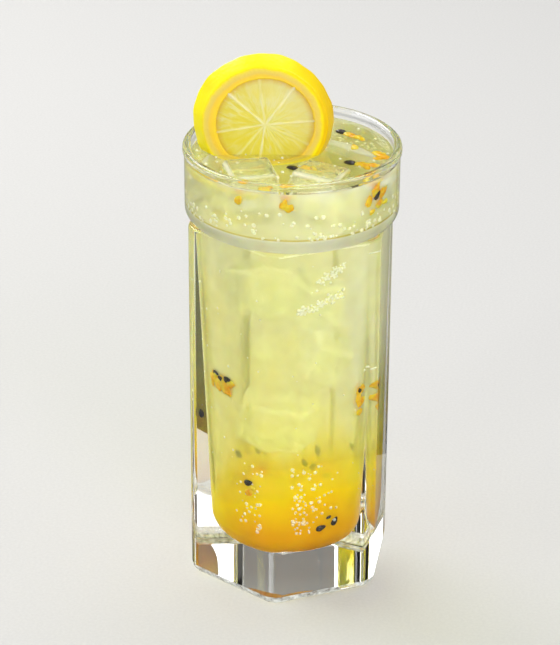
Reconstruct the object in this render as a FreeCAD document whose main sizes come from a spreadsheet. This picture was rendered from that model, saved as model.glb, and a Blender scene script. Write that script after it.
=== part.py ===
"""Glass of fruit ade: a thick six-sided highball with a round collar, filled with a pale
citrus drink over a settled layer of fruit pulp, with two cubes of ice at the surface and
a slice of lemon standing in it.

Millimetres, +Z up, origin at the centre of the foot. One corner of the hexagon points
along -Y and two of its flats face +X and -X.
"""
import FreeCAD, Part
import math
import os
import Sketcher
from FreeCAD import Placement, Rotation, Vector

# Driving sizes: alias, value in millimetres or degrees, meaning.
SIZES = [
    ("height", 166.0, "Foot to the top of the lip"),
    ("rim_radius", 38.0, "Outer radius of the lip"),
    ("hexagon_flat", 33.8, "Centre to a flat side of the hexagonal body"),
    ("corner_round", 7.0, "Rounding of the six upright corners"),
    ("foot_round", 4.2, "Rounding of the edge it stands on"),
    ("ledge_round", 1.2, "Rounding of the top edge of the hexagonal body"),
    ("collar_height", 26.4, "Underside of the collar to the top of the lip"),
    ("collar_sink", 0.4, "How far the hexagonal body rises beside the collar"),
    ("collar_round", 3.6, "Rounding of the collar's underside"),
    ("collar_wall", 2.55, "Thickness of the collar's wall"),
    ("lip_bead", 0.55, "How far the lip stands out from the collar"),
    ("lip_height", 3.4, "Height of the thickened lip"),
    ("lip_flare", 1.2, "Height over which the wall widens into the lip"),
    ("lip_round", 1.4, "Rounding of the lip, inside and out"),
    ("base_thickness", 14.5, "Solid glass under the drink"),
    ("foot_wall", 12.9, "Wall at a flat side, beside the bottom of the drink"),
    ("side_wall", 5.7, "Wall at a flat side, just under the shoulder"),
    ("bore_round", 8.0, "Rounding of the inner bottom"),
    ("shoulder_drop", 27.0, "Lip down to where the hollow starts to widen"),
    ("shoulder_rise", 5.6, "Height of the widening"),
    ("shoulder_round", 4.0, "Rounding of the shoulder's two bends"),
    ("freeboard", 5.0, "Lip down to the surface of the drink"),
    ("pulp_depth", 31.0, "Mean depth of the settled pulp"),
    ("pulp_lean", 0.27, "Rise of the pulp's top for each millimetre to the right"),
    ("pulp_wave", 2.6, "Unevenness of the pulp's top, up and down"),
    ("slice_radius", 24.8, "Radius of the lemon slice at its larger face"),
    ("slice_thick", 6.0, "Thickness of the lemon slice"),
    ("slice_skew", 3.3, "How much smaller the slice's front face is, in radius"),
    ("slice_round", 0.9, "Rounding of the slice's two rims"),
    ("rind_width", 3.4, "Peel and pith shown on the cut face"),
    ("flesh_depth", 0.4, "How far the flesh lies below the pith"),
    ("segment_tip", 1.7, "Middle of the slice to the point of a segment's flesh"),
    ("segment_count", 9, "Segments of the lemon"),
    ("slice_room", 33.4, "Inner wall at the front to the slice's front face"),
    ("slice_gap", 0.7, "Slice to the inner wall at its left end"),
    ("slice_rise", 6.2, "Middle of the slice above the lip"),
    ("slice_turn", 8.9, "Turn of the slice about the upright, from facing -Y"),
    ("ice_long", 19.0, "Ice cube, longer side"),
    ("ice_short", 17.5, "Ice cube, shorter side"),
    ("ice_tall", 17.5, "Ice cube, height"),
    ("ice_round", 2.4, "Rounding of the ice"),
    ("ice_draft", 2.5, "Taper of the ice, as it leaves its tray"),
    ("ice_show", 1.7, "How far the ice stands out of the drink"),
    ("ice_gap", 0.4, "Between the two cubes, measured across"),
    ("ice_shift", 0.8, "Gap between the cubes to the axis, along X"),
    ("ice_left_room", 19.5, "Inner wall at the front to the middle of the left cube"),
    ("ice_left_turn", 24.0, "Left cube, turn about the upright"),
    ("ice_right_room", 22.5, "Inner wall at the front to the middle of the right cube"),
    ("ice_right_turn", -16.0, "Right cube, turn about the upright"),
    ("ice_tilt", 5.0, "Lean of the floating cubes"),
]

doc = FreeCAD.newDocument("fruit_ade")
sheet = doc.addObject("Spreadsheet::Sheet", "sizes")
for row, (alias, value, meaning) in enumerate(SIZES, 1):
    sheet.set(f"A{row}", meaning)
    sheet.set(f"B{row}", str(value))
    sheet.setAlias(f"B{row}", alias)
doc.recompute()

VALUES = {alias: float(sheet.get(alias)) for alias, _, _ in SIZES}


def number(expression):
    """The value of a sum or difference of the sheet's names."""
    total, sign = 0.0, 1
    for word in expression.split():
        if word in ("+", "-"):
            sign = 1 if word == "+" else -1
        else:
            total += sign * (VALUES[word] if word in VALUES else float(word))
    return total


def bound(expression):
    """The same sum, written as a property or constraint reads it from the sheet."""
    return " ".join("sizes." + word if word in VALUES else word
                    for word in expression.split())


def plane(body, role):
    """One of a body's own origin planes."""
    return next(feature for feature in body.Origin.OriginFeatures if feature.Role == role)


def sketch_on(body, name, role, lift=None):
    """An empty sketch on an origin plane of its body, raised by an expression if given."""
    sketch = body.newObject("Sketcher::SketchObject", name)
    sketch.AttachmentSupport = [(plane(body, role), "")]
    sketch.MapMode = "FlatFace"
    if lift:
        sketch.AttachmentOffset = Placement(Vector(0, 0, number(lift)), Rotation())
        sketch.setExpression("AttachmentOffset.Base.z", bound(lift))
    doc.recompute()
    return sketch


def pin(sketch, kind, geometry, point, expression, name):
    """Hold a point at a named distance from the sketch's origin, or on its axis."""
    if expression == "0":
        axis = -2 if kind == "DistanceX" else -1
        sketch.addConstraint(Sketcher.Constraint("PointOnObject", geometry, point, axis))
        return
    constraint = Sketcher.Constraint(kind, -1, 1, geometry, point, number(expression))
    index = sketch.addConstraint(constraint)
    sketch.renameConstraint(index, name)
    sketch.setExpression("Constraints." + name, bound(expression))


def profile(body, name, corners):
    """A closed half-section on the XZ plane.

    Each corner is (radius, height) or (radius, height, rounding), all expressions.
    """
    sketch = sketch_on(body, name, "XZ_Plane")
    count = len(corners)
    spots = [Vector(number(corner[0]), number(corner[1]), 0) for corner in corners]
    ways = [(spots[(i + 1) % count] - spots[i]).normalize() for i in range(count)]
    starts, ends = [None] * count, [None] * count
    for i, corner in enumerate(corners):
        before, after = ways[i - 1], ways[i]
        inset = 0.0
        if len(corner) == 3:
            inset = number(corner[2]) * math.tan(before.getAngle(after) / 2)
        ends[i - 1] = spots[i] - before * inset
        starts[i] = spots[i] + after * inset
    for i in range(count):
        sketch.addGeometry(Part.LineSegment(starts[i], ends[i]), False)
    for i, corner in enumerate(corners):
        last = (i - 1) % count
        tag = f"corner_{i}"
        if len(corner) == 2:
            sketch.addConstraint(Sketcher.Constraint("Coincident", last, 2, i, 1))
            pin(sketch, "DistanceX", i, 1, corner[0], tag + "_radius")
            pin(sketch, "DistanceY", i, 1, corner[1], tag + "_height")
            continue
        left_turn = ways[last].cross(ways[i]).z > 0
        inward = Vector(-ways[last].y, ways[last].x, 0) * (1 if left_turn else -1)
        centre = ends[last] + inward * number(corner[2])
        middle = centre + (spots[i] - centre).normalize() * number(corner[2])
        arc = sketch.addGeometry(Part.Arc(ends[last], middle, starts[i]), False)
        from_end, to_end = (1, 2) if left_turn else (2, 1)
        sketch.addConstraint(Sketcher.Constraint("Tangent", last, 2, arc, from_end))
        sketch.addConstraint(Sketcher.Constraint("Tangent", arc, to_end, i, 1))
        radius = sketch.addConstraint(Sketcher.Constraint("Radius", arc, number(corner[2])))
        sketch.renameConstraint(radius, tag + "_round")
        sketch.setExpression("Constraints." + tag + "_round", bound(corner[2]))
        point = sketch.addGeometry(Part.Point(spots[i]), True)
        sketch.addConstraint(Sketcher.Constraint("PointOnObject", point, 1, last))
        sketch.addConstraint(Sketcher.Constraint("PointOnObject", point, 1, i))
        pin(sketch, "DistanceX", point, 1, corner[0], tag + "_radius")
        pin(sketch, "DistanceY", point, 1, corner[1], tag + "_height")
    doc.recompute()
    return sketch


def turned(body, kind, name, sketch):
    """A full turn of a half-section about the upright: Revolution adds, Groove cuts."""
    feature = body.newObject("PartDesign::" + kind, name)
    feature.Profile = sketch
    feature.ReferenceAxis = (sketch, ["V_Axis"])
    feature.Angle = 360.0
    body.Tip = feature
    doc.recompute()
    return feature


def rounded(body, name, wanted, expression):
    """Round those edges of the body so far for which wanted(edge) is true."""
    base = body.Tip
    edges = [f"Edge{i}" for i, edge in enumerate(base.Shape.Edges, 1) if wanted(edge)]
    feature = body.newObject("PartDesign::Fillet", name)
    feature.Base = (base, edges)
    feature.Radius = number(expression)
    feature.setExpression("Radius", bound(expression))
    body.Tip = feature
    doc.recompute()
    return feature


def spans(edge):
    """Lowest and highest point of an edge."""
    return edge.BoundBox.ZMin, edge.BoundBox.ZMax


def flat_at(height):
    """Picks the edges that lie in a level plane."""
    return lambda edge: all(abs(z - height) < 0.01 for z in spans(edge))


def hexagon(body, name, flat):
    """A regular hexagon about the origin with one corner on -Y, by centre to flat."""
    sketch = sketch_on(body, name, "XY_Plane")
    reach = number(flat) / math.cos(math.pi / 6)
    ring = sketch.addGeometry(Part.Circle(Vector(0, 0, 0), Vector(0, 0, 1), reach), True)
    sketch.addConstraint(Sketcher.Constraint("Coincident", ring, 3, -1, 1))
    index = sketch.addConstraint(Sketcher.Constraint("Radius", ring, reach))
    sketch.renameConstraint(index, "reach")
    sketch.setExpression("Constraints.reach", f"({bound(flat)}) / cos(30 deg)")
    angles = [math.radians(60 * k - 90) for k in range(6)]
    spots = [Vector(reach * math.cos(a), reach * math.sin(a), 0) for a in angles]
    sides = [sketch.addGeometry(Part.LineSegment(spots[k], spots[(k + 1) % 6]), False)
             for k in range(6)]
    for k, side in enumerate(sides):
        sketch.addConstraint(Sketcher.Constraint("Coincident", side, 2, sides[(k + 1) % 6], 1))
        sketch.addConstraint(Sketcher.Constraint("PointOnObject", side, 1, ring))
        if k:
            sketch.addConstraint(Sketcher.Constraint("Equal", sides[0], side))
    sketch.addConstraint(Sketcher.Constraint("PointOnObject", sides[0], 1, -2))
    doc.recompute()
    return sketch


BODY_TOP = "height - collar_height + collar_sink"
COLLAR_BASE = "height - collar_height"
COLLAR_RADIUS = "rim_radius - lip_bead"
COLLAR_INSIDE = "rim_radius - lip_bead - collar_wall"
SURFACE = "height - freeboard"


def inside(body, name, top):
    """The half-section of the hollow of the glass, from its bottom up to a height."""
    return profile(body, name, [
        ("0", "base_thickness"),
        ("hexagon_flat - foot_wall", "base_thickness", "bore_round"),
        ("hexagon_flat - side_wall", "height - shoulder_drop", "shoulder_round"),
        (COLLAR_INSIDE, "height - shoulder_drop + shoulder_rise", "shoulder_round"),
        (COLLAR_INSIDE, top),
        ("0", top),
    ])


def make_glass():
    """Hexagonal body, round collar with a beaded lip, and one hollow down its middle."""
    body = doc.addObject("PartDesign::Body", "glass")
    sides = body.newObject("PartDesign::Pad", "six_sides")
    sides.Profile = hexagon(body, "foot_outline", "hexagon_flat")
    sides.Length = number(BODY_TOP)
    sides.setExpression("Length", bound(BODY_TOP))
    body.Tip = sides
    doc.recompute()
    upright = lambda edge: spans(edge)[1] - spans(edge)[0] > number(BODY_TOP) / 2
    rounded(body, "soft_corners", upright, "corner_round")
    rounded(body, "soft_foot", flat_at(0), "foot_round")
    rounded(body, "soft_ledge", flat_at(number(BODY_TOP)), "ledge_round")
    collar = profile(body, "collar_section", [
        ("0", COLLAR_BASE),
        (COLLAR_RADIUS, COLLAR_BASE, "collar_round"),
        (COLLAR_RADIUS, "height - lip_height", "lip_flare"),
        ("rim_radius", "height - lip_height + lip_flare"),
        ("rim_radius", "height", "lip_round"),
        ("0", "height"),
    ])
    turned(body, "Revolution", "collar", collar)
    turned(body, "Groove", "hollow", inside(body, "hollow_section", "height + lip_height"))

    def at_inner_lip(edge):
        across = edge.BoundBox.XMax - number(COLLAR_INSIDE)
        return flat_at(VALUES["height"])(edge) and abs(across) < 0.01

    rounded(body, "soft_lip", at_inner_lip, "lip_round")
    return body


def make_contents():
    """All that the glass holds, up to the surface."""
    body = doc.addObject("PartDesign::Body", "contents")
    turned(body, "Revolution", "filling", inside(body, "filling_section", SURFACE))
    return body


def make_settled():
    """A block from the bottom up to the uneven top of the settled pulp."""
    half = VALUES["rim_radius"]
    steps = 8
    wave = VALUES["pulp_wave"]
    mean = number("base_thickness + pulp_depth")

    def top(x, y):
        ripple = math.sin(0.17 * x + 0.9) * math.cos(0.15 * y - 0.4)
        ripple += 0.5 * math.sin(0.31 * y + 0.12 * x)
        return mean + VALUES["pulp_lean"] * x + wave * ripple

    places = [half * (2 * k / steps - 1) for k in range(steps + 1)]
    grid = [[Vector(x, y, top(x, y)) for y in places] for x in places]
    surface = Part.BSplineSurface()
    surface.interpolate(grid)
    drop = mean + wave + half
    block = doc.addObject("Part::Feature", "settled_block")
    block.Shape = surface.toShape().extrude(Vector(0, 0, -drop))
    return block


def make_slice():
    """A round slice cut off near the lemon's end, so its peel slopes, with sunken flesh."""
    body = doc.addObject("PartDesign::Body", "lemon_slice")
    front = "slice_radius - slice_skew"
    section = profile(body, "slice_section", [
        ("0", "0"),
        ("slice_radius", "0", "slice_round"),
        (front, "slice_thick", "slice_round"),
        ("0", "slice_thick"),
    ])
    turned(body, "Revolution", "slice_disc", section)
    half_step = 180 / VALUES["segment_count"]
    reach = number(front + " - rind_width")
    tip = Vector(VALUES["segment_tip"], 0, 0)
    for name, lift in (("back", "0"), ("front", "slice_thick")):
        sketch = sketch_on(body, name + "_segment", "XY_Plane", lift)
        ends = []
        for way in (-1, 1):
            angle = math.radians(way * half_step)
            along = tip.x * math.cos(angle)
            length = math.sqrt(reach ** 2 - tip.x ** 2 + along ** 2) - along
            ends.append(tip + Vector(math.cos(angle), math.sin(angle), 0) * length)
            side = sketch.addGeometry(Part.LineSegment(tip, ends[-1]), False)
            index = sketch.addConstraint(Sketcher.Constraint("Angle", side, angle))
            sketch.renameConstraint(index, "right_side" if way < 0 else "left_side")
            sketch.setExpression(f"Constraints[{index}]", f"{180 * way} / sizes.segment_count")
        arc = sketch.addGeometry(Part.Arc(ends[0], Vector(reach, 0, 0), ends[1]), False)
        sketch.addConstraint(Sketcher.Constraint("Coincident", 0, 1, 1, 1))
        sketch.addConstraint(Sketcher.Constraint("Coincident", 0, 2, arc, 1))
        sketch.addConstraint(Sketcher.Constraint("Coincident", 1, 2, arc, 2))
        sketch.addConstraint(Sketcher.Constraint("Coincident", arc, 3, -1, 1))
        sketch.addConstraint(Sketcher.Constraint("PointOnObject", 0, 1, -1))
        pin(sketch, "DistanceX", 0, 1, "segment_tip", "segment_tip")
        index = sketch.addConstraint(Sketcher.Constraint("Radius", arc, reach))
        sketch.renameConstraint(index, "reach")
        sketch.setExpression("Constraints.reach", bound(front + " - rind_width"))
        doc.recompute()
        pocket = body.newObject("PartDesign::Pocket", name + "_flesh")
        pocket.Profile = sketch
        pocket.Length = VALUES["flesh_depth"]
        pocket.setExpression("Length", bound("flesh_depth"))
        pocket.Reversed = name == "back"
        body.Tip = pocket
        doc.recompute()
        ring = body.newObject("PartDesign::PolarPattern", name + "_segments")
        ring.Originals = [pocket]
        ring.Axis = (sketch, ["N_Axis"])
        ring.Angle = 360.0
        ring.Occurrences = int(VALUES["segment_count"])
        body.Tip = ring
        doc.recompute()
    turn = math.radians(VALUES["slice_turn"])
    facing = Vector(math.sin(turn), -math.cos(turn), 0)
    front_middle = Vector(number("slice_radius + slice_gap") - number(COLLAR_INSIDE),
                          number("slice_room") - number(COLLAR_INSIDE),
                          number("height + slice_rise"))
    body.Placement = Placement(front_middle - facing * VALUES["slice_thick"],
                               Rotation(Vector(0, 0, 1), facing))
    return body


def make_ice(label, side, way, tilt_way):
    """A cube of tray ice with rounded edges, floating a little out of the drink.

    The way is -1 for a cube to the left of the gap between the two, 1 to the right.
    """
    body = doc.addObject("PartDesign::Body", label)
    sketch = sketch_on(body, label + "_base", "XY_Plane")
    half_long, half_short = VALUES["ice_long"] / 2, VALUES["ice_short"] / 2
    spots = [Vector(x * half_long, y * half_short, 0)
             for x, y in ((-1, -1), (1, -1), (1, 1), (-1, 1))]
    for k in range(4):
        sketch.addGeometry(Part.LineSegment(spots[k], spots[(k + 1) % 4]), False)
    for k in range(4):
        sketch.addConstraint(Sketcher.Constraint("Coincident", k, 2, (k + 1) % 4, 1))
        sketch.addConstraint(Sketcher.Constraint("Vertical" if k % 2 else "Horizontal", k))
    sketch.addConstraint(Sketcher.Constraint("Symmetric", 0, 1, 1, 2, -1, 1))
    for kind, line, alias in (("DistanceX", 0, "ice_long"), ("DistanceY", 1, "ice_short")):
        index = sketch.addConstraint(Sketcher.Constraint(kind, line, 1, line, 2, VALUES[alias]))
        sketch.renameConstraint(index, alias)
        sketch.setExpression("Constraints." + alias, bound(alias))
    pad = body.newObject("PartDesign::Pad", label + "_block")
    pad.Profile = sketch
    pad.Length = VALUES["ice_tall"]
    pad.setExpression("Length", bound("ice_tall"))
    pad.TaperAngle = -VALUES["ice_draft"]
    pad.setExpression("TaperAngle", bound("0 - ice_draft"))
    body.Tip = pad
    doc.recompute()
    rounded(body, label + "_edges", lambda edge: True, "ice_round")
    turn = Rotation(Vector(0, 0, 1), VALUES[f"ice_{side}_turn"])
    tilt = Rotation(tilt_way, VALUES["ice_tilt"])
    angle = math.radians(abs(VALUES[f"ice_{side}_turn"]))
    half_across = half_long * math.cos(angle) + half_short * math.sin(angle)
    top = Vector(VALUES["ice_shift"] + way * (VALUES["ice_gap"] / 2 + half_across),
                 number(f"ice_{side}_room") - number(COLLAR_INSIDE),
                 number(SURFACE + " + ice_show"))
    attitude = tilt.multiply(turn)
    body.Placement = Placement(top - attitude.multVec(Vector(0, 0, VALUES["ice_tall"])),
                               attitude)
    return body


def combined(kind, name, base, tools):
    """A Part boolean: Cut, Common (one tool) or MultiFuse (all of tools)."""
    feature = doc.addObject("Part::" + kind, name)
    if kind == "MultiFuse":
        feature.Shapes = tools
    else:
        feature.Base, feature.Tool = base, tools[0]
    doc.recompute()
    return feature


glass = make_glass()
contents = make_contents()
settled = make_settled()
lemon_slice = make_slice()
ice_left = make_ice("ice_left", "left", -1, Vector(0.8, 0.6, 0))
ice_right = make_ice("ice_right", "right", 1, Vector(-0.5, 0.9, 0))
pulp_layer = combined("Common", "pulp_layer", contents, [settled])
floating = combined("MultiFuse", "floating", None, [lemon_slice, ice_left, ice_right])
clear_part = combined("Cut", "clear_part", contents, [settled])
drink = combined("Cut", "drink", clear_part, [floating])

doc.recompute()
for item in doc.Objects:
    if {"Invalid", "Error"} & set(item.State):
        raise RuntimeError(f"{item.Name} failed: {item.State}")

os.makedirs("parts", exist_ok=True)
for node in (glass, drink, pulp_layer, lemon_slice, ice_left, ice_right):
    shape = node.Shape
    if shape.isNull() or not shape.isValid() or len(shape.Solids) != 1:
        raise RuntimeError(f"{node.Label}: not one valid solid")
    box = shape.optimalBoundingBox(False, False)
    print(f"{node.Label:12s} {shape.Volume / 1000:8.2f} cm3  "
          f"x {box.XMin:6.1f} {box.XMax:6.1f}  y {box.YMin:6.1f} {box.YMax:6.1f}  "
          f"z {box.ZMin:6.1f} {box.ZMax:6.1f}")
    shape.exportStep(f"parts/{node.Label}.step")
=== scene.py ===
"""Looks of a glass of fruit ade: thick clear glass, cloudy lemon drink over settled fruit
pulp, ice, seeds, bubbles and a slice of lemon. Metres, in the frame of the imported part.
"""

import math
import random

import bpy
from mathutils import Matrix, Vector


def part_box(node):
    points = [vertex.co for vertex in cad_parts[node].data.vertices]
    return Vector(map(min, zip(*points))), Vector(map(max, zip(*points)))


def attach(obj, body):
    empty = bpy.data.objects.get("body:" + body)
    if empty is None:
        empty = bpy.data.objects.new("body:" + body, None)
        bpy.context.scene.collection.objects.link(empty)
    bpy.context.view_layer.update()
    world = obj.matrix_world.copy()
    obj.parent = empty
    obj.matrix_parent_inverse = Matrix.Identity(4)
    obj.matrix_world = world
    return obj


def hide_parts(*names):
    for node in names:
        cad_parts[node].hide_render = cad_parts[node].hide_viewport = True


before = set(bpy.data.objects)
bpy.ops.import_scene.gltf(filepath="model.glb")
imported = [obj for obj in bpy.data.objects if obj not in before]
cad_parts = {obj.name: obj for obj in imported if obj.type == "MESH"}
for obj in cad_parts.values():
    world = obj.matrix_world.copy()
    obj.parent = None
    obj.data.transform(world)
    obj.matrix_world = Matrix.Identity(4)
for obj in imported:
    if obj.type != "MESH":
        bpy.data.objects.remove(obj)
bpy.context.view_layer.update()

MM = 0.001
random.seed(7)

# The glass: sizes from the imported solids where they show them, and the rest as drawn.
GLASS_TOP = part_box("glass")[1].z
RIM_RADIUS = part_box("glass")[1].x
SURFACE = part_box("drink")[1].z
INNER_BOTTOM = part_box("pulp_layer")[0].z
COLLAR_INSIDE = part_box("drink")[1].x
HEXAGON_FLAT = 33.8 * MM       # from the middle to each flat side
CORNER_ROUND = 7 * MM
FOOT_ROUND = 4.2 * MM
LEDGE_ROUND = 1.2 * MM         # where the six sides end under the collar
BORE_FOOT = HEXAGON_FLAT - 12.9 * MM
BORE_TOP = HEXAGON_FLAT - 5.7 * MM
BORE_ROUND = 8 * MM
SHOULDER_LOW = GLASS_TOP - 27 * MM
SHOULDER_HIGH = SHOULDER_LOW + 5.6 * MM
SHOULDER_ROUND = 4 * MM
COLLAR_BASE = GLASS_TOP - 26.4 * MM
COLLAR_RADIUS = RIM_RADIUS - 0.55 * MM
COLLAR_BASE_ROUND = 3.6 * MM
BEAD_LOW = GLASS_TOP - 3.4 * MM
BEAD_HIGH = GLASS_TOP - 2.2 * MM
LIP_ROUND = 1.4 * MM

# The drink.
INTO_WALL = 0.15 * MM          # how far it reaches into the glass, so that no air shows
PULP_TOP = INNER_BOTTOM + 21 * MM
WATER_BEND = 1.34              # index of refraction of a thin juice

# The slice, which stands across the rim with its front cut face towards the viewer.
VIEW_TURN = math.radians(8.9)
SLICE_RADIUS = 24.8 * MM
SLICE_THICK = 6 * MM
SLICE_SKEW = 3.3 * MM          # how much smaller its front face is than its back
SLICE_SHIFT = 0.9 * MM         # how far its front face lies to the right of its back
FLESH_RADIUS = 17.3 * MM
FLESH_SUNK = 0.5 * MM          # how deep the segments lie below the membranes
FLESH_SWELL = 0.25 * MM        # and how far their middles rise again
MEMBRANE_HALF = 0.4 * MM       # half the width of a membrane
SLICE_MIDDLE = Vector((SLICE_RADIUS - 0.1 * MM - COLLAR_INSIDE, 33.4 * MM - COLLAR_INSIDE,
                       GLASS_TOP + 6.2 * MM))
SLICE_FRAME = Matrix.Translation(SLICE_MIDDLE) @ Matrix.Rotation(VIEW_TURN, 4, "Z") \
    @ Matrix.Rotation(math.pi / 2, 4, "X")
MEMBRANES = {math.radians(bearing): bold for bearing, bold in (
    (5, 0.9), (54, 1.0), (97, 0.45), (138, 1.0), (190, 0.8), (231, 0.6), (262, 0.9),
    (300, 0.35), (334, 0.4))}

ICE_SIZE = Vector((19, 17.5, 17.5)) * MM
SEED_SIZE = Vector((1.35, 2.1, 0.85)) * MM


# ---------------------------------------------------------------- modelling tools

def deselect():
    """Leave edit mode with nothing selected."""
    if bpy.context.mode != "OBJECT":
        bpy.ops.object.mode_set(mode="OBJECT")
    bpy.ops.object.select_all(action="DESELECT")


def activate(*pieces):
    """Select these objects only, the first one active."""
    deselect()
    for piece in pieces:
        piece.select_set(True)
    bpy.context.view_layer.objects.active = pieces[0]


def edit(piece, part="FACE", wanted=None):
    """Open a piece in edit mode with only those faces, edges or corners selected."""
    activate(piece)
    bpy.ops.object.mode_set(mode="EDIT")
    bpy.ops.mesh.select_mode(type=part)
    bpy.ops.mesh.select_all(action="DESELECT")
    bpy.ops.object.mode_set(mode="OBJECT")
    mesh = piece.data
    items = {"FACE": mesh.polygons, "EDGE": mesh.edges, "VERT": mesh.vertices}[part]
    for item in items:
        item.select = wanted is None or wanted(item, mesh)
    bpy.ops.object.mode_set(mode="EDIT")


def edge_ends(edge, mesh):
    """Where an edge's two ends lie."""
    return [mesh.vertices[i].co for i in edge.vertices]


def modify(piece, kind, **settings):
    """Add a modifier, set it and apply it."""
    activate(piece)
    modifier = piece.modifiers.new(kind.title(), kind)
    for name, value in settings.items():
        setattr(modifier, name, value)
    bpy.ops.object.modifier_apply(modifier=modifier.name)


def carve(piece, tool, way):
    """Join or cut with another closed piece, which is used up."""
    modify(piece, "BOOLEAN", operation=way, object=tool, solver="EXACT")
    bpy.data.objects.remove(tool)


def outline(corners, segments=10):
    """Points of an outline whose corners are (radius, height, rounding)."""
    points = []
    for k, (radius, height, rounding) in enumerate(corners):
        spot = Vector((radius, height))
        if not rounding:
            points.append(spot)
            continue
        before = (spot - Vector(corners[k - 1][:2])).normalized()
        after = (Vector(corners[k + 1][:2]) - spot).normalized()
        turn = before.angle_signed(after)
        inset = rounding * math.tan(abs(turn) / 2)
        side = -1 if turn > 0 else 1
        centre = spot - before * inset + Vector((-before.y, before.x)) * rounding * side
        start = spot - before * inset - centre
        for step in range(segments + 1):
            arm = start.copy()
            arm.rotate(Matrix.Rotation(-turn * step / segments, 2))
            points.append(centre + arm)
    return points


def lathe(name, corners, steps=144, segments=10):
    """Trace a half-section by extruding a point along it, then spin it about the upright."""
    points = outline(corners, segments)
    deselect()
    bpy.ops.mesh.primitive_plane_add(size=MM)
    piece = bpy.context.object
    piece.name = piece.data.name = name
    edit(piece, "VERT")
    bpy.ops.mesh.select_all(action="SELECT")
    bpy.ops.mesh.merge(type="CENTER")
    spot = Vector((0, 0))
    for k, point in enumerate(points):
        move = (point.x - spot.x, 0, point.y - spot.y)
        if k == 0:
            bpy.ops.transform.translate(value=move)
        else:
            bpy.ops.mesh.extrude_region_move(TRANSFORM_OT_translate={"value": move})
        spot = point
    bpy.ops.mesh.select_all(action="SELECT")
    bpy.ops.mesh.spin(steps=steps, angle=2 * math.pi, center=(0, 0, 0), axis=(0, 0, 1))
    bpy.ops.mesh.select_all(action="SELECT")
    bpy.ops.mesh.remove_doubles(threshold=0.001 * MM)
    bpy.ops.mesh.normals_make_consistent(inside=False)
    bpy.ops.object.mode_set(mode="OBJECT")
    return piece


def smooth(piece, angle=35, weighted=False):
    """Smooth shading that keeps sharp edges and, if weighted, true flats."""
    activate(piece)
    bpy.ops.object.shade_smooth_by_angle(angle=math.radians(angle))
    if weighted:
        modify(piece, "WEIGHTED_NORMAL", mode="FACE_AREA", keep_sharp=True, weight=80)


def scatter(name, seedling, places):
    """Copies of one small piece at these transforms, each with its own mesh, as one piece."""
    copies = []
    for place in places:
        mesh = seedling.data.copy()
        mesh.transform(place)
        copy = bpy.data.objects.new(name, mesh)
        bpy.context.scene.collection.objects.link(copy)
        copies.append(copy)
    bpy.data.objects.remove(seedling)
    activate(*copies)
    bpy.ops.object.join()
    copies[0].name = copies[0].data.name = name
    return copies[0]


def dress(piece, material, slot, *nodes):
    """Give a piece its finish, put it on the body and hide the imported parts it stands for."""
    activate(piece)
    bpy.ops.object.transform_apply(location=True, rotation=True, scale=True)
    piece.data.materials.clear()
    piece.data.materials.append(material)
    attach(piece, "root")
    if nodes:
        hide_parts(*nodes)


def wall_radius(height):
    """Inner radius of the glass at a height, without its roundings."""
    if height >= SHOULDER_HIGH:
        return COLLAR_INSIDE
    if height >= SHOULDER_LOW:
        share = (height - SHOULDER_LOW) / (SHOULDER_HIGH - SHOULDER_LOW)
        return BORE_TOP + share * (COLLAR_INSIDE - BORE_TOP)
    rise = height - INNER_BOTTOM
    radius = BORE_FOOT + rise / (SHOULDER_LOW - INNER_BOTTOM) * (BORE_TOP - BORE_FOOT)
    if rise < BORE_ROUND:
        low = BORE_ROUND - rise
        radius -= BORE_ROUND - math.sqrt(max(BORE_ROUND ** 2 - low ** 2, 0))
    return radius


def at_bearing(bearing, height, radius):
    """A point by its bearing in degrees, 0 towards the viewer and growing to the right."""
    angle = math.radians(bearing) - math.pi / 2 + VIEW_TURN
    return Vector((radius * math.cos(angle), radius * math.sin(angle), height))


# ---------------------------------------------------------------- materials
# From shader to bumps, each helper takes sockets or plain values, with colours as sRGB hex
# codes, and returns the socket that carries its result. The number after a pattern is how far
# apart its features are.

def linear(code):
    """A hex colour, with its alpha if it has one, as linear light."""
    *parts, alpha = (int(code[k:k + 2] or "ff", 16) / 255 for k in (1, 3, 5, 7))
    return tuple(c / 12.92 if c <= 0.04045 else ((c + 0.055) / 1.055) ** 2.4
                 for c in parts) + (alpha,)


def add(tree, kind, values=None, stops=None, **settings):
    """One shader node: its settings, its sockets' values or links, and a ramp's stops."""
    node = tree.nodes.new("ShaderNode" + kind)
    for name, value in settings.items():
        setattr(node, name, value)
    for socket, value in (values or {}).items():
        if isinstance(value, bpy.types.NodeSocket):
            tree.links.new(value, node.inputs[socket])
        elif isinstance(value, str):
            node.inputs[socket].default_value = linear(value)
        else:
            node.inputs[socket].default_value = value
    if stops:
        elements = node.color_ramp.elements
        while len(elements) < len(stops):
            elements.new(0.5)
        for element, (place, colour) in zip(elements, stops):
            element.position, element.color = place, linear(colour)
    return node


def shader(tree, kind, **values):
    """A plain shader; a socket's name has an underscore for each space."""
    named = {name.replace("_", " "): value for name, value in values.items()}
    return add(tree, "Bsdf" + kind, named).outputs[0]


def layer(tree, share, under, over):
    """Two shaders mixed, the second by that share."""
    return add(tree, "MixShader", {0: share, 1: under, 2: over}).outputs[0]


def blend(tree, share, under, over):
    """Two colours mixed, the second by that share."""
    return add(tree, "Mix", {"Factor": share, "A": under, "B": over},
               data_type="RGBA").outputs["Result"]


def ramp(tree, share, *stops):
    """A colour from stops of (place, colour)."""
    return add(tree, "ValToRGB", {0: share}, stops).outputs[0]


def mapped(tree, value, low, high, to_low=0.0, to_high=1.0):
    """A value between two limits, moved to lie between two others and held there."""
    return add(tree, "MapRange", {"Value": value, "From Min": low, "From Max": high,
                                  "To Min": to_low, "To Max": to_high}).outputs[0]


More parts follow.
